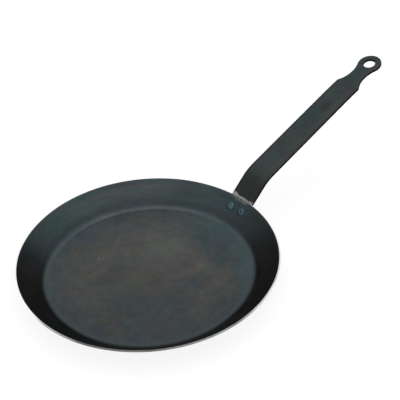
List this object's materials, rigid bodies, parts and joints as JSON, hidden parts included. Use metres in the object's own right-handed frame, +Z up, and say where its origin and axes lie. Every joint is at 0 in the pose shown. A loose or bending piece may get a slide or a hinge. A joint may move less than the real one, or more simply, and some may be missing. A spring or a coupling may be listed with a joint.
{
  "type": "crepe pan",
  "caption": "Shallow round steel crepe pan with a flat floor, a low flared wall and a long flat strip handle, riveted on and ending in an eye to hang it by.",
  "frame": {"origin": "centre of the base's flat underside", "axes": "+Z up out of the dish, +X from the dish's centre along the handle"},
  "size_m": [0.438, 0.2394, 0.1049],
  "materials": {
    "dish_steel": "blued carbon steel, satin, bare metal on the cut rim",
    "handle_steel": "blued steel strip, matt",
    "rivet_steel": "blued steel, satin"
  },
  "bodies": {
    "root": {"pan_body": "dish_steel", "handle": "handle_steel", "rivet_left": "rivet_steel", "rivet_right": "rivet_steel"}
  },
  "joints": []
}
